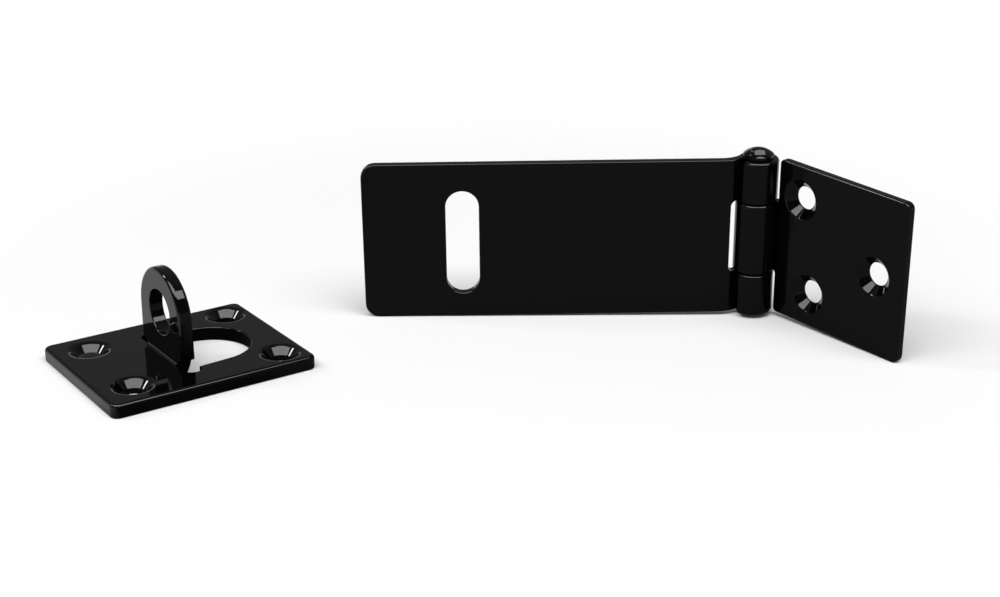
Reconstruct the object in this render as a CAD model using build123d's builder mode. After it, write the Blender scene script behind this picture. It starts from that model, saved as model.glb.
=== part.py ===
from build123d import *
from math import acos, atan2, cos, degrees, hypot, radians, sin, sqrt, tan
import os

os.makedirs("parts", exist_ok=True)

# Hinged hasp of black coated steel, stood on its edge half open, with its staple plate lying beside it.
# Millimetres, +Z up, the floor at z = 0 and the origin in the middle of the set's footprint.

# Sheet, hinge and pin
sheet = 2.8  # thickness of the strap and of the leaf
strip_width = 45.5  # height of both plates, along the hinge pin
outer_edge_round = 0.9  # coated edges of both plates, on the outside of the hinge
inner_edge_round = 0.45  # and on the faces inside the angle, where the shears left them sharper
pin_diameter = 5.8
pin_clearance = 0.05  # radial, between the pin and the rolled knuckles
outer_knuckle = 12.1  # length of each of the strap's two knuckles
knuckle_gap = 0.3  # axial, between one knuckle and the next
head_diameter = 8.4  # both peened heads of the pin
upper_head = 2.7
upper_rim = 1.1  # upright part of the upper head, under its dome
lower_head = 1.2
lower_rim = 0.3
peen_width = 2.9  # step that the hammer left on the upper head, on the side inside the angle
peen_start = 1.2  # from the pin's axis
peen_depth = 1.25  # below the top of the head
peen_slope = 49.0
peen_dents = ((-2.0, 1.4, 0.8), (-2.6, 2.5, 0.6), (-2.2, 0.1, 0.6))  # along the hinge, to the front, radius
peen_dent_depth = 0.45
opening_angle = 128.0  # between the strap and the leaf, 0 when closed and 180 when flat
closed_gap = 0.5  # between the strap and the leaf when closed

# Strap
strap_length = 109.1  # hinge axis to free end
strap_corner = 4.0
crank_radius = 7.3  # mid-line radius of the bend that sets the strap forward of its knuckles
strap_curl_end = 40.0  # direction of the curl's free edge, from the strap towards its front
notch_depth = 1.45  # clear of the middle knuckle, behind the strap's notch
notch_corner = 1.6
notch_edge_round = 0.6  # knuckle ends that face the notch
slot_width = 9.2
slot_length = 30.4
slot_reach = 81.45  # hinge axis to the middle of the slot
slot_drop = 0.55  # middle of the slot, below the middle of the strap
slot_edge_round = 0.5

# Leaf
leaf_length = 50.5  # hinge axis to far end
leaf_rise = 0.3  # lower edge of the leaf, above that of the strap
leaf_corner = 2.0
leaf_clearance = 0.42  # between the strap's knuckles and the edge of the leaf beside them
leaf_shoulder = 1.4  # outer corners of that edge
neck_corner = 0.8  # its inner corners, beside the leaf's own knuckle
leaf_curl_end = 18.0  # direction of the curl's free edge, from the leaf towards its back
leaf_holes = ((13.45, 0.788), (17.95, 0.207), (40.25, 0.487))  # from the hinge axis, share of the width up
screw_hole = 6.5
leaf_countersink = 11.2
leaf_rim_round = 0.7
countersink_angle = 90.0

# Staple plate
plate_length = 57.6
plate_width = 46.7
plate_sheet = 3.85
plate_corner = 2.2
plate_top_round = 1.0
plate_base_round = 0.5
plate_holes = ((-19.3, 14.0), (-19.3, -14.0), (21.6, 16.1), (21.6, -16.1))  # from the middle of the plate
plate_countersink = 10.9
plate_rim_round = 1.7
eye_face = -4.7  # face of the eye on the closed side, from the middle of the plate
eye_radius = 12.3  # round top of the eye
eye_base = 12.6  # half its width at the fold
eye_height = 27.9  # floor to the top of the eye
eye_hole = 12.2
eye_hole_height = 15.9
eye_edge_round = 1.0
eye_hole_round = 0.35
fold_radius = 3.8  # outside of the fold
crease_round = 0.8  # inside of the fold
crease_inset = 0.2  # ends of the crease, from the edges of the neck below the eye
opening_radius = 11.7  # round end of the opening that the eye was cut from
opening_base = 12.65  # half its width at the fold
opening_reach = 8.2  # middle of its round end, from the middle of the plate
opening_edge_round = 0.4
relief_radius = 2.45  # round notch in the plate at each end of the fold
relief_centre = 13.0
neck_relief_radius = 3.9  # round notch in each edge of the eye, just above the fold
neck_relief_height = 2.2

# Places on the floor
hinge_place = (78.83, 32.08)
staple_place = (-77.99, -3.18)
staple_turn = 33.6

# Sizes that follow from these
bore_radius = pin_diameter / 2 + pin_clearance
knuckle_radius = bore_radius + sheet
middle_radius = bore_radius + sheet / 2
strap_front = bore_radius - closed_gap  # inside face of the strap, in front of the hinge axis
strap_back = strap_front - sheet
leaf_turn = 180 + opening_angle
leaf_knuckle_start = outer_knuckle + knuckle_gap
leaf_inside = bore_radius  # inside face of the leaf, behind the hinge axis
leaf_edge = sqrt((knuckle_radius + leaf_clearance) ** 2 - leaf_inside**2)
leaf_back = leaf_inside + sheet
cut_depth = strip_width
neck_half = eye_base - sqrt(neck_relief_radius**2 - (plate_sheet - neck_relief_height) ** 2)


def turned(along, across, angle):
    """The point at this distance along and across a direction, which is turned from X by the angle."""
    c, s = cos(radians(angle)), sin(radians(angle))
    return along * c - across * s, along * s + across * c


# The hasp stands on the pin's lower head and on the far lower corners of the strap and the leaf, so that
# the head tips the hinge axis: the floor has these slopes as seen from the upright hasp.
leaf_lift = lower_head + leaf_rise
strap_foot = turned(strap_length - strap_corner, strap_front - inner_edge_round, 180)
leaf_foot = turned(leaf_length - leaf_corner, leaf_inside + inner_edge_round, leaf_turn)
foot_area = strap_foot[0] * leaf_foot[1] - leaf_foot[0] * strap_foot[1]
slope_x = (lower_head * leaf_foot[1] - leaf_lift * strap_foot[1]) / foot_area
slope_y = (leaf_lift * strap_foot[0] - lower_head * leaf_foot[0]) / foot_area
floor = Plane(origin=(0, 0, -lower_head), x_dir=(1, 0, slope_x), z_dir=(-slope_x, -slope_y, 1))
hinge = Plane(Location(hinge_place) * floor.location.inverse())

# Directions and planes: each section is seen along the hinge axis, each face from inside the angle.
pin_axis = Axis(hinge.origin, hinge.z_dir)
strap_axis = Axis(hinge.origin, -hinge.x_dir)
leaf_axis = Axis(hinge.origin, hinge.x_dir.rotate(Axis((0, 0, 0), hinge.z_dir), leaf_turn))
strap_section = Plane(hinge.origin, x_dir=strap_axis.direction, z_dir=pin_axis.direction)
leaf_section = Plane(hinge.origin, x_dir=leaf_axis.direction, z_dir=pin_axis.direction)
strap_face = Plane(hinge.origin, x_dir=-strap_axis.direction, z_dir=strap_section.y_dir).offset(strap_front)
leaf_face = Plane(hinge.origin, x_dir=leaf_axis.direction, z_dir=-leaf_section.y_dir).offset(-leaf_inside)
pin_section = Plane(hinge.origin, x_dir=hinge.x_dir, z_dir=-hinge.y_dir)
pin_top = hinge.from_local_coords((0, 0, strip_width + upper_head))
peen_plane = Plane(pin_top, x_dir=-hinge.y_dir, z_dir=-hinge.x_dir)
staple = Plane(staple_place, x_dir=turned(1, 0, staple_turn), z_dir=(0, 0, 1))
opening_plane = Plane(staple.origin, x_dir=-staple.y_dir, z_dir=staple.z_dir)
eye_plane = Plane(staple.from_local_coords((eye_face, 0, 0)), x_dir=staple.y_dir, z_dir=staple.x_dir)
crease_plane = Plane(eye_plane.origin + eye_plane.y_dir * plate_sheet, x_dir=-staple.x_dir, z_dir=staple.y_dir)


def rims(part, radius):
    """The circular edges of this radius on a part."""
    circles = part.edges().filter_by(GeomType.CIRCLE)
    return circles.filter_by(lambda circle: abs(circle.radius - radius) < 1e-4)


def long_edges(part, face):
    """The four long edges of a rolled strip: the outer two, then the two at its face."""
    levels = part.edges().group_by(pin_axis)
    ends = [level.filter_by(GeomType.LINE).sort_by(SortBy.LENGTH)[-2:] for level in (levels[0], levels[-1])]
    return (ends[0] + ends[1]).sort_by(Axis(hinge.origin, face.z_dir))


def tongue_outline(base_y, base_half, tip_y, tip_radius):
    """Draw a round-ended tongue along Y, whose straight sides run from its base to touch the round end."""
    reach = hypot(base_half, tip_y - base_y)
    touch = atan2(base_y - tip_y, base_half) + acos(tip_radius / reach)
    touch_x, touch_y = tip_radius * cos(touch), tip_y + tip_radius * sin(touch)
    Polyline((-touch_x, touch_y), (-base_half, base_y), (base_half, base_y), (touch_x, touch_y))
    ThreePointArc((touch_x, touch_y), (0, tip_y + tip_radius), (-touch_x, touch_y))


# Strap: one strip, cranked forward and rolled round the pin, notched for the leaf's knuckle
crank_y = strap_front - sheet / 2 - crank_radius
crank_x = sqrt((crank_radius + middle_radius) ** 2 - crank_y**2)
crank_turn = degrees(atan2(crank_y, crank_x))
crank_sweep = 90 + crank_turn
curl_sweep = 360 - strap_curl_end + crank_turn
notch_edge = knuckle_radius + notch_depth
notch_height = strip_width - 2 * outer_knuckle

with BuildPart() as hasp_strap:
    with BuildSketch(strap_section):
        with BuildLine():
            Line((strap_length, strap_back), (crank_x, strap_back))
            CenterArc((crank_x, crank_y), crank_radius - sheet / 2, 90, crank_sweep)
            CenterArc((0, 0), knuckle_radius, crank_turn, -curl_sweep)
            Line(turned(knuckle_radius, 0, strap_curl_end), turned(bore_radius, 0, strap_curl_end))
            CenterArc((0, 0), bore_radius, crank_turn, -curl_sweep)
            CenterArc((crank_x, crank_y), crank_radius + sheet / 2, 90, crank_sweep)
            Polyline((crank_x, strap_front), (strap_length, strap_front), (strap_length, strap_back))
        make_face()
    extrude(amount=strip_width)
    with BuildSketch(strap_face):
        with Locations((-notch_edge, strip_width / 2)):
            Rectangle(2 * notch_edge, notch_height, align=(Align.MIN, Align.CENTER))
        with Locations((-slot_reach, strip_width / 2 - slot_drop)):
            SlotOverall(slot_length, slot_width, rotation=90)
    extrude(amount=cut_depth, both=True, mode=Mode.SUBTRACT)
    corners = hasp_strap.edges().filter_by(Axis(hinge.origin, strap_face.z_dir)).group_by(strap_axis)
    fillet(corners[-1], strap_corner)
    fillet(corners[0], notch_corner)
    fillet(long_edges(hasp_strap, strap_face)[:2], outer_edge_round)
    fillet(long_edges(hasp_strap, strap_face)[2:], inner_edge_round)
    fillet(rims(hasp_strap, slot_width / 2), slot_edge_round)
    fillet(rims(hasp_strap, knuckle_radius).sort_by(pin_axis)[1:3], notch_edge_round)
hasp_strap.part.label = "hasp_strap"
export_step(hasp_strap.part, "parts/hasp_strap.step")

# Leaf: a shorter plate, rolled the same way at its middle, with no crank
leaf_sweep = 270 + leaf_curl_end

with BuildPart() as hinge_leaf:
    with BuildSketch(leaf_face):
        with Locations((leaf_edge, leaf_rise)):
            Rectangle(leaf_length - leaf_edge, strip_width, align=(Align.MIN, Align.MIN))
    extrude(amount=-sheet)
    with BuildSketch(leaf_section.offset(leaf_knuckle_start)):
        with BuildLine():
            Line((leaf_length, leaf_back), (0, leaf_back))
            CenterArc((0, 0), knuckle_radius, 90, leaf_sweep)
            Line(turned(knuckle_radius, 0, leaf_curl_end), turned(bore_radius, 0, leaf_curl_end))
            CenterArc((0, 0), bore_radius, 90, leaf_sweep)
            Polyline((0, leaf_inside), (leaf_length, leaf_inside), (leaf_length, leaf_back))
        make_face()
    extrude(amount=strip_width - 2 * leaf_knuckle_start)
    corners = hinge_leaf.edges().filter_by(Axis(hinge.origin, leaf_face.z_dir)).group_by(leaf_axis)
    shoulders = corners[0].sort_by(pin_axis)
    fillet(corners[-1], leaf_corner)
    fillet(shoulders[0::3], leaf_shoulder)
    fillet(shoulders[1:3], neck_corner)
    fillet(long_edges(hinge_leaf, leaf_face)[:2], outer_edge_round)
    fillet(long_edges(hinge_leaf, leaf_face)[2:], inner_edge_round)
    hole_places = [Pos(x, leaf_rise + share * strip_width) for x, share in leaf_holes]
    with Locations(*[leaf_face.location * place for place in hole_places]):
        CounterSinkHole(screw_hole / 2, leaf_countersink / 2, counter_sink_angle=countersink_angle)
    fillet(rims(hinge_leaf, leaf_countersink / 2), leaf_rim_round)
hinge_leaf.part.label = "hinge_leaf"
export_step(hinge_leaf.part, "parts/hinge_leaf.step")

# Pin: a plain rod with a domed head peened at each end, each seated on the strap's knuckle
shank = pin_diameter / 2
head = head_diameter / 2


def dome(rise):
    """Radius of a dome of this rise over the head, and the angle at which it starts."""
    ball = (head**2 + rise**2) / (2 * rise)
    return ball, degrees(atan2(ball - rise, head))


upper_ball, upper_start = dome(upper_head - upper_rim)
lower_ball, lower_start = dome(lower_head - lower_rim)
upper_centre = strip_width + upper_head - upper_ball
lower_centre = lower_ball - lower_head

with BuildPart() as hinge_pin:
    with BuildSketch(pin_section):
        with BuildLine():
            upper_dome = CenterArc((0, upper_centre), upper_ball, upper_start, 90 - upper_start)
            lower_dome = CenterArc((0, lower_centre), lower_ball, 270, 90 - lower_start)
            Line(upper_dome @ 1, lower_dome @ 0)
            Polyline(lower_dome @ 1, (head, 0), (shank, 0), (shank, strip_width), (head, strip_width))
            Line((head, strip_width), upper_dome @ 0)
        make_face()
    revolve(axis=pin_axis)
    with BuildSketch(peen_plane):
        with BuildLine():
            step_foot = (peen_start + peen_depth / tan(radians(peen_slope)), -peen_depth)
            Polyline((peen_start, 0), step_foot, (head, -peen_depth), (head, 0), close=True)
        make_face()
    extrude(amount=peen_width / 2, both=True, mode=Mode.SUBTRACT)
    for along, ahead, radius in peen_dents:
        surface = upper_centre + sqrt(upper_ball**2 - along**2 - ahead**2)
        with Locations(hinge.location * Pos(along, -ahead, surface + radius - peen_dent_depth)):
            Sphere(radius, mode=Mode.SUBTRACT)
hinge_pin.part.label = "hinge_pin"
export_step(hinge_pin.part, "parts/hinge_pin.step")


def cross_edge(along, height):
    """The straight edge across the staple plate at this distance from its middle and at this height."""
    straight = staple_plate.edges().filter_by(Axis(staple.origin, staple.y_dir))
    return straight.sort_by_distance(staple.from_local_coords((along, 0, height)))[0]


# Staple plate: a flat plate whose eye is cut on three sides and folded up
with BuildPart() as staple_plate:
    with BuildSketch(staple):
        RectangleRounded(plate_length, plate_width, plate_corner)
    extrude(amount=plate_sheet)
    fillet(staple_plate.edges().group_by(Axis.Z)[-1], plate_top_round)
    fillet(staple_plate.edges().group_by(Axis.Z)[0], plate_base_round)
    with BuildSketch(opening_plane):
        with BuildLine():
            tongue_outline(eye_face, opening_base, opening_reach, opening_radius)
        make_face()
        with Locations(*[(side * relief_centre, eye_face + relief_radius) for side in (-1, 1)]):
            Circle(relief_radius)
    extrude(amount=plate_sheet, mode=Mode.SUBTRACT)
    with BuildSketch(eye_plane):
        with BuildLine():
            tongue_outline(0, eye_base, eye_height - eye_radius, eye_radius)
        make_face()
        with Locations((0, eye_hole_height)):
            Circle(eye_hole / 2, mode=Mode.SUBTRACT)
        with Locations(*[(side * eye_base, neck_relief_height) for side in (-1, 1)]):
            Circle(neck_relief_radius, mode=Mode.SUBTRACT)
    extrude(amount=plate_sheet)
    fillet(cross_edge(eye_face + plate_sheet, 0), fold_radius)
    fillet(rims(staple_plate, eye_radius), eye_edge_round)
    with Locations(*[staple.location * Pos(x, y, plate_sheet) for x, y in plate_holes]):
        CounterSinkHole(screw_hole / 2, plate_countersink / 2, counter_sink_angle=countersink_angle)
    fillet(rims(staple_plate, plate_countersink / 2), plate_rim_round)
    fillet(rims(staple_plate, eye_hole / 2), eye_hole_round)
    fillet(rims(staple_plate, opening_radius), opening_edge_round)
    with BuildSketch(crease_plane):
        Rectangle(crease_round, crease_round, align=Align.MIN)
        with Locations((crease_round, crease_round)):
            Circle(crease_round, mode=Mode.SUBTRACT)
    extrude(amount=neck_half - crease_inset, both=True)
staple_plate.part.label = "staple_plate"
export_step(staple_plate.part, "parts/staple_plate.step")
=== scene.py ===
"""Hinged hasp with its staple plate, coated gloss black, in a white studio."""

from __future__ import annotations

import logging
import math
from dataclasses import dataclass
from enum import Enum

import bmesh
import bpy
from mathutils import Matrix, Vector


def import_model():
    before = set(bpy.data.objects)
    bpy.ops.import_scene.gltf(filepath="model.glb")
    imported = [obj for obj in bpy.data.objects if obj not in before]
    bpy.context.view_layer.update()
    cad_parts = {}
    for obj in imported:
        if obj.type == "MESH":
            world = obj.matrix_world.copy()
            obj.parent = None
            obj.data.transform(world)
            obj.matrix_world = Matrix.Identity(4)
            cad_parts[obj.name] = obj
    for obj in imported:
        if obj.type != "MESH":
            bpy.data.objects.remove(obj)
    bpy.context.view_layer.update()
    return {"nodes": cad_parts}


LOG = logging.getLogger("hinged_hasp")
MM = 0.001
WELD_MM = 0.0001  # corners of a sliver that are this close are one point
NOISE_LOW, NOISE_HIGH = 0.3, 0.7  # most of a noise lies between these


def linear(hex_colour: str) -> tuple[float, float, float, float]:
    """Turn an sRGB hex colour into a linear one.

    Args:
        hex_colour: Colour such as "#0a0a0b".

    Returns:
        Linear red, green and blue, and an alpha of 1.
    """
    shares = [int(hex_colour[i : i + 2], 16) / 255 for i in (1, 3, 5)]
    red, green, blue = (
        share / 12.92 if share <= 0.04045 else ((share + 0.055) / 1.055) ** 2.4 for share in shares
    )
    return red, green, blue, 1.0


def add_node(
    tree: bpy.types.NodeTree,
    kind: str,
    settings: dict[str, object] | None = None,
    inputs: dict[str | int, object] | None = None,
) -> bpy.types.Node:
    """Add a node to a tree, with its settings, its socket values and its links.

    Args:
        tree: Tree that gets the node.
        kind: Blender's name for the kind of node.
        settings: Attributes of the node itself.
        inputs: Value or linked output socket for each input socket.

    Returns:
        The new node.
    """
    node = tree.nodes.new(kind)
    for name, value in (settings or {}).items():
        setattr(node, name, value)
    for socket, value in (inputs or {}).items():
        if isinstance(value, bpy.types.NodeSocket):
            tree.links.new(value, node.inputs[socket])
        else:
            node.inputs[socket].default_value = value
    return node


def empty_tree(owner: bpy.types.Material | bpy.types.World) -> bpy.types.NodeTree:
    """Give a material or world a node tree with nothing in it.

    Args:
        owner: Material or world.

    Returns:
        Its node tree.
    """
    owner.use_nodes = True
    owner.node_tree.nodes.clear()
    return owner.node_tree


def weld_slivers(piece: bpy.types.Object) -> None:
    """Let a modifier close the triangles that have two corners in one place.

    A CAD mesh can have such slivers where faces run out. The node's own mesh stays as it is.

    Args:
        piece: Object of a CAD node.
    """
    points = piece.data.vertices
    slivers = [
        corner
        for face in piece.data.polygons
        if len({tuple(points[corner].co) for corner in face.vertices}) < len(face.vertices)
        for corner in face.vertices
    ]
    if slivers:
        group = piece.vertex_groups.new(name="slivers")
        group.add(slivers, 1.0, "REPLACE")
        weld = piece.modifiers.new("sliver_weld", "WELD")
        weld.vertex_group = group.name
        weld.merge_threshold = WELD_MM * MM
        LOG.info("%s has %d corners of slivers to weld", piece.name, len(slivers))


class Node(str, Enum):
    """The CAD nodes that the set is made of."""

    STRAP = "hasp_strap"
    LEAF = "hinge_leaf"
    PIN = "hinge_pin"
    STAPLE = "staple_plate"


@dataclass(frozen=True)
class GlossBlackEnamel:
    """Stoved gloss black enamel on steel.

    The coat flows out as it is stoved, so it mirrors the studio, with a very slight orange peel.
    What lies under it shows through as slow waves: almost none on rolled sheet, hammer marks on a
    peened pin.
    """

    name: str
    colour: str = "#030304"
    ior: float = 1.5
    gloss_best: float = 0.035  # roughness
    gloss_worst: float = 0.075
    gloss_patch_mm: float = 11.0
    gloss_detail: float = 2.0
    peel_width_mm: float = 1.5
    peel_height_mm: float = 0.0012
    peel_detail: float = 1.0
    wave_width_mm: float = 14.0
    wave_height_mm: float = 0.012
    wave_detail: float = 0.0

    def build(self) -> bpy.types.Material:
        """Make the node material.

        Returns:
            The enamel as a new material.
        """
        material = bpy.data.materials.new(self.name)
        tree = empty_tree(material)
        place = add_node(tree, "ShaderNodeTexCoord").outputs["Object"]

        def noise(width_mm: float, detail: float) -> bpy.types.NodeSocket:
            """Add a noise whose grain has this width, and return its value."""
            inputs = {"Vector": place, "Scale": 1 / (width_mm * MM), "Detail": detail}
            return add_node(tree, "ShaderNodeTexNoise", inputs=inputs).outputs["Fac"]

        # Patches where the coat flowed out a little less.
        gloss = add_node(
            tree,
            "ShaderNodeMapRange",
            inputs={
                "Value": noise(self.gloss_patch_mm, self.gloss_detail),
                "From Min": NOISE_LOW,
                "From Max": NOISE_HIGH,
                "To Min": self.gloss_best,
                "To Max": self.gloss_worst,
            },
        )
        wave = add_node(
            tree,
            "ShaderNodeBump",
            inputs={
                "Height": noise(self.wave_width_mm, self.wave_detail),
                "Distance": self.wave_height_mm * MM,
            },
        )
        peel = add_node(
            tree,
            "ShaderNodeBump",
            inputs={
                "Height": noise(self.peel_width_mm, self.peel_detail),
                "Distance": self.peel_height_mm * MM,
                "Normal": wave.outputs["Normal"],
            },
        )
        coat = add_node(
            tree,
            "ShaderNodeBsdfPrincipled",
            inputs={
                "Base Color": linear(self.colour),
                "Roughness": gloss.outputs["Result"],
                "IOR": self.ior,
                "Normal": peel.outputs["Normal"],
            },
        )
        add_node(tree, "ShaderNodeOutputMaterial", inputs={"Surface": coat.outputs["BSDF"]})
        return material


class SubAssembly:
    """CAD nodes that belong together, each with its finish."""

    def finishes(self) -> dict[Node, GlossBlackEnamel]:
        """Name the finish of each node.

        Returns:
            Finish by node.
        """
        raise NotImplementedError

    def dress(self, made: dict[str, bpy.types.Object]) -> None:
        """Give each node its finish.

        Args:
            made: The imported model's objects by node name.
        """
        for node, finish in self.finishes().items():
            piece = made[node.value]
            piece.data.materials.clear()
            piece.data.materials.append(finish.build())
            weld_slivers(piece)
            LOG.info("%s dressed in %s", node.value, finish.name)


@dataclass(frozen=True)
class Hasp(SubAssembly):
    """Strap and leaf, rolled from sheet, on a peened pin."""

    strap: GlossBlackEnamel = GlossBlackEnamel("gloss_black_enamel_strap")
    leaf: GlossBlackEnamel = GlossBlackEnamel("gloss_black_enamel_leaf")
    pin: GlossBlackEnamel = GlossBlackEnamel(
        "gloss_black_enamel_pin", wave_width_mm=3.4, wave_height_mm=0.5
    )

    def finishes(self) -> dict[Node, GlossBlackEnamel]:
        """Name the finish of each node.

        Returns:
            Finish by node.
        """
        return {Node.STRAP: self.strap, Node.LEAF: self.leaf, Node.PIN: self.pin}


@dataclass(frozen=True)
class StaplePlate(SubAssembly):
    """The plate with the folded eye."""

    plate: GlossBlackEnamel = GlossBlackEnamel("gloss_black_enamel_staple")

    def finishes(self) -> dict[Node, GlossBlackEnamel]:
        """Name the finish of the plate.

        Returns:
            Finish by node.
        """
        return {Node.STAPLE: self.plate}


@dataclass(frozen=True)
class Softbox:
    """A rectangular lamp that faces the middle of the set, in metres."""

    name: str
    direction: tuple[float, float, float]
    distance: float
    width: float
    height: float
    brightness: float

    def build(self) -> None:
        """Make the lamp."""
        data = bpy.data.lights.new(self.name, "AREA")
        data.shape = "RECTANGLE"
        data.size, data.size_y = self.width, self.height
        # A flat lamp of power P and area A has a brightness of P / (pi A).
        # On the same scale a white floor in full light has 1.
        data.energy = self.brightness * math.pi * self.width * self.height
        lamp = bpy.data.objects.new(self.name, data)
        bpy.context.scene.collection.objects.link(lamp)
        towards = Vector(self.direction).normalized()
        lamp.location = towards * self.distance
        lamp.rotation_euler = towards.to_track_quat("Z", "Y").to_euler()


@dataclass(frozen=True)
class Floor:
    """White card that the set stands on.

    Before the set, reflections see the card darkened, a painted shade that stands in for a black
    flag, so that gloss black faces stay black. Only reflections see this painted shade.
    """

    reach: float = 6.0  # metres, as are near and far
    colour: str = "#f2f2f2"
    lift_near: float = 0.02  # brightness that is added for the camera
    lift_far: float = 0.5
    near: float = 0.12
    far: float = 0.6
    mirrored: float = 0.62  # share of the card's colour in a dimmed reflection, beside the painted shade
    painted_shade_share: float = 0.146  # and in the painted shade that reflections see, before the strap
    painted_shade_share_left: float = 0.035  # and in the painted shade before the staple plate
    # Where the painted shade in reflections lies, and how softly it fades
    painted_shade_left_mm: float = -92.0
    painted_shade_back_mm: float = 45.0
    painted_shade_fade_mm: float = 6.0
    staple_end_mm: float = -55.0
    strap_end_mm: float = -32.0

    def build(self) -> None:
        """Make the card."""
        mesh = bpy.data.meshes.new("floor")
        shape = bmesh.new()
        bmesh.ops.create_grid(shape, x_segments=1, y_segments=1, size=self.reach)
        shape.to_mesh(mesh)
        shape.free()
        mesh.materials.append(self.white_card())
        floor = bpy.data.objects.new("floor", mesh)
        bpy.context.scene.collection.objects.link(floor)

    def white_card(self) -> bpy.types.Material:
        """Make the card's material.

        Returns:
            Matt white card, dimmed in reflections and whitened for the camera.
        """
        material = bpy.data.materials.new("white_card")
        tree = empty_tree(material)
        path = add_node(tree, "ShaderNodeLightPath")
        place = add_node(tree, "ShaderNodeTexCoord").outputs["Object"]
        shade = add_node(
            tree,
            "ShaderNodeMix",
            inputs={
                "Factor": path.outputs["Is Glossy Ray"],
                "A": 1.0,
                "B": self.mirrored_share(tree, place),
            },
        )
        colour = add_node(
            tree,
            "ShaderNodeVectorMath",
            {"operation": "SCALE"},
            {"Vector": linear(self.colour)[:3], "Scale": shade.outputs["Result"]},
        )
        card = add_node(tree, "ShaderNodeBsdfDiffuse", inputs={"Color": colour.outputs["Vector"]})
        strength = add_node(
            tree,
            "ShaderNodeMath",
            {"operation": "MULTIPLY"},
            {0: path.outputs["Is Camera Ray"], 1: self.whitening(tree, place)},
        )
        lift = add_node(tree, "ShaderNodeEmission", inputs={"Strength": strength.outputs["Value"]})
        both = add_node(
            tree,
            "ShaderNodeAddShader",
            inputs={0: card.outputs["BSDF"], 1: lift.outputs["Emission"]},
        )
        add_node(tree, "ShaderNodeOutputMaterial", inputs={"Surface": both.outputs["Shader"]})
        return material

    def mirrored_share(
        self, tree: bpy.types.NodeTree, place: bpy.types.NodeSocket
    ) -> bpy.types.NodeSocket:
        """Work out how bright a reflection sees the card.

        Args:
            tree: Tree of the card's material.
            place: Place on the card.

        Returns:
            Share of the card's colour, which is low on the painted shade before the set.
        """
        spot = add_node(tree, "ShaderNodeSeparateXYZ", inputs={"Vector": place})
        fade = self.painted_shade_fade_mm * MM
        left, back = self.painted_shade_left_mm * MM, self.painted_shade_back_mm * MM
        right_of = add_node(
            tree,
            "ShaderNodeMapRange",
            inputs={"Value": spot.outputs["X"], "From Min": left - fade, "From Max": left + fade},
        )
        before = add_node(
            tree,
            "ShaderNodeMapRange",
            inputs={"Value": spot.outputs["Y"], "From Min": back, "From Max": back - 2 * fade},
        )
        # Mask of the painted shade that reflections see on the card before the set.
        painted_shade_mask = add_node(
            tree,
            "ShaderNodeMath",
            {"operation": "MULTIPLY"},
            {0: right_of.outputs["Result"], 1: before.outputs["Result"]},
        )
        # The painted shade in reflections is darker before the staple plate than before the strap.
        painted_shade_share = add_node(
            tree,
            "ShaderNodeMapRange",
            inputs={
                "Value": spot.outputs["X"],
                "From Min": self.staple_end_mm * MM,
                "From Max": self.strap_end_mm * MM,
                "To Min": self.painted_shade_share_left,
                "To Max": self.painted_shade_share,
            },
        )
        mirrored = add_node(
            tree,
            "ShaderNodeMapRange",
            inputs={
                "Value": painted_shade_mask.outputs["Value"],
                "To Min": self.mirrored,
                "To Max": painted_shade_share.outputs["Result"],
            },
        )
        return mirrored.outputs["Result"]

    def whitening(
        self, tree: bpy.types.NodeTree, place: bpy.types.NodeSocket
    ) -> bpy.types.NodeSocket:
        """Work out what keeps the card white all the way out, with its shadow near the set.

        Args:
            tree: Tree of the card's material.
            place: Place on the card.

        Returns:
            Brightness to add for the camera.
        """
        away = add_node(tree, "ShaderNodeVectorMath", {"operation": "LENGTH"}, {"Vector": place})
        whitened = add_node(
            tree,
            "ShaderNodeMapRange",
            {"interpolation_type": "SMOOTHSTEP"},
            {
                "Value": away.outputs["Value"],
                "From Min": self.near,
                "From Max": self.far,
                "To Min": self.lift_near,
                "To Max": self.lift_far,
            },
        )
        return whitened.outputs["Result"]


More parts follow.
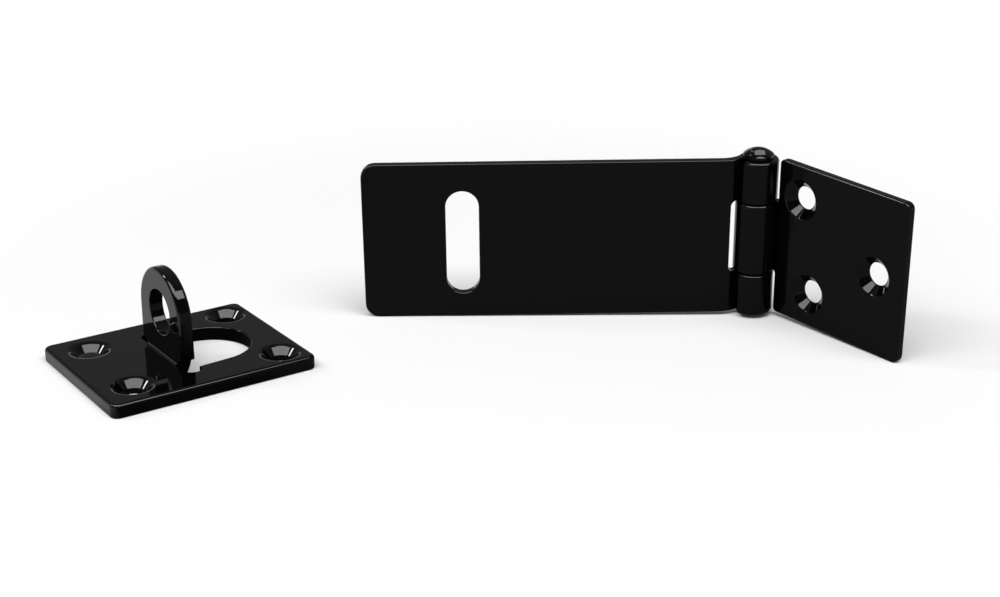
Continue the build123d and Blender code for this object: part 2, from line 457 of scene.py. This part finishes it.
@dataclass(frozen=True)
class Walls:
    """The studio's far surroundings.

    A white glow runs along the horizon with grey above it, and all of it is dimmer towards the front.
    Heights, and places to the front or back, are parts of a direction of length 1.
    """

    glow: float = 1.0
    glow_top: float = 0.06
    grey: float = 0.19
    grey_from: float = 0.22
    front_share: float = 0.25
    front_from: float = -0.35
    back_from: float = 0.35

    def build(self) -> None:
        """Make the world."""
        world = bpy.data.worlds.new("studio_walls")
        bpy.context.scene.world = world
        tree = empty_tree(world)
        place = add_node(tree, "ShaderNodeTexCoord")
        towards = add_node(
            tree, "ShaderNodeSeparateXYZ", inputs={"Vector": place.outputs["Generated"]}
        )
        shade = add_node(
            tree,
            "ShaderNodeMapRange",
            {"interpolation_type": "SMOOTHSTEP"},
            {
                "Value": towards.outputs["Z"],
                "From Min": self.glow_top,
                "From Max": self.grey_from,
                "To Min": self.glow,
                "To Max": self.grey,
            },
        )
        share = add_node(
            tree,
            "ShaderNodeMapRange",
            {"interpolation_type": "SMOOTHSTEP"},
            {
                "Value": towards.outputs["Y"],
                "From Min": self.front_from,
                "From Max": self.back_from,
                "To Min": self.front_share,
            },
        )
        strength = add_node(
            tree,
            "ShaderNodeMath",
            {"operation": "MULTIPLY"},
            {0: shade.outputs["Result"], 1: share.outputs["Result"]},
        )
        walls = add_node(
            tree, "ShaderNodeBackground", inputs={"Strength": strength.outputs["Value"]}
        )
        add_node(tree, "ShaderNodeOutputWorld", inputs={"Surface": walls.outputs["Background"]})


@dataclass(frozen=True)
class Camera:
    """The camera, at the photograph's angle."""

    place_mm: tuple[float, float, float] = (1.49, -453.96, 195.0)
    pitch: float = 21.41  # degrees below the horizon
    turn: float = 0.714  # degrees to the right
    lens_mm: float = 66.383
    sensor_mm: float = 36.0
    nearest_mm: float = 10.0

    def build(self) -> None:
        """Place the camera."""
        data = bpy.data.cameras.new("camera")
        data.sensor_width = self.sensor_mm
        data.lens = self.lens_mm
        data.clip_start = self.nearest_mm * MM
        camera = bpy.data.objects.new("camera", data)
        bpy.context.scene.collection.objects.link(camera)
        camera.location = Vector(self.place_mm) * MM
        camera.rotation_euler = (math.radians(90 - self.pitch), 0.0, -math.radians(self.turn))
        bpy.context.scene.camera = camera


@dataclass(frozen=True)
class Studio:
    """Floor, walls, softboxes and camera."""

    floor: Floor = Floor()
    walls: Walls = Walls()
    camera: Camera = Camera()
    softboxes: tuple[Softbox, ...] = (
        Softbox(
            name="overhead_softbox",
            direction=(0.0, -0.46, 1.0),
            distance=2.8,
            width=4.9,
            height=1.8,
            brightness=4.3,
        ),
        Softbox(
            name="left_strip",
            direction=(-0.78, 0.11, 0.62),
            distance=3.0,
            width=0.35,
            height=0.5,
            brightness=20.0,
        ),
    )

    def build(self) -> None:
        """Make the whole studio."""
        self.floor.build()
        self.walls.build()
        for softbox in self.softboxes:
            softbox.build()
        self.camera.build()
        bpy.context.scene.view_settings.view_transform = "Standard"


def main() -> None:
    """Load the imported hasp, dress it and light it."""
    logging.basicConfig(level=logging.INFO)
    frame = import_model()
    for sub_assembly in (Hasp(), StaplePlate()):
        sub_assembly.dress(frame["nodes"])
    Studio().build()


if __name__ == "__main__":
    main()
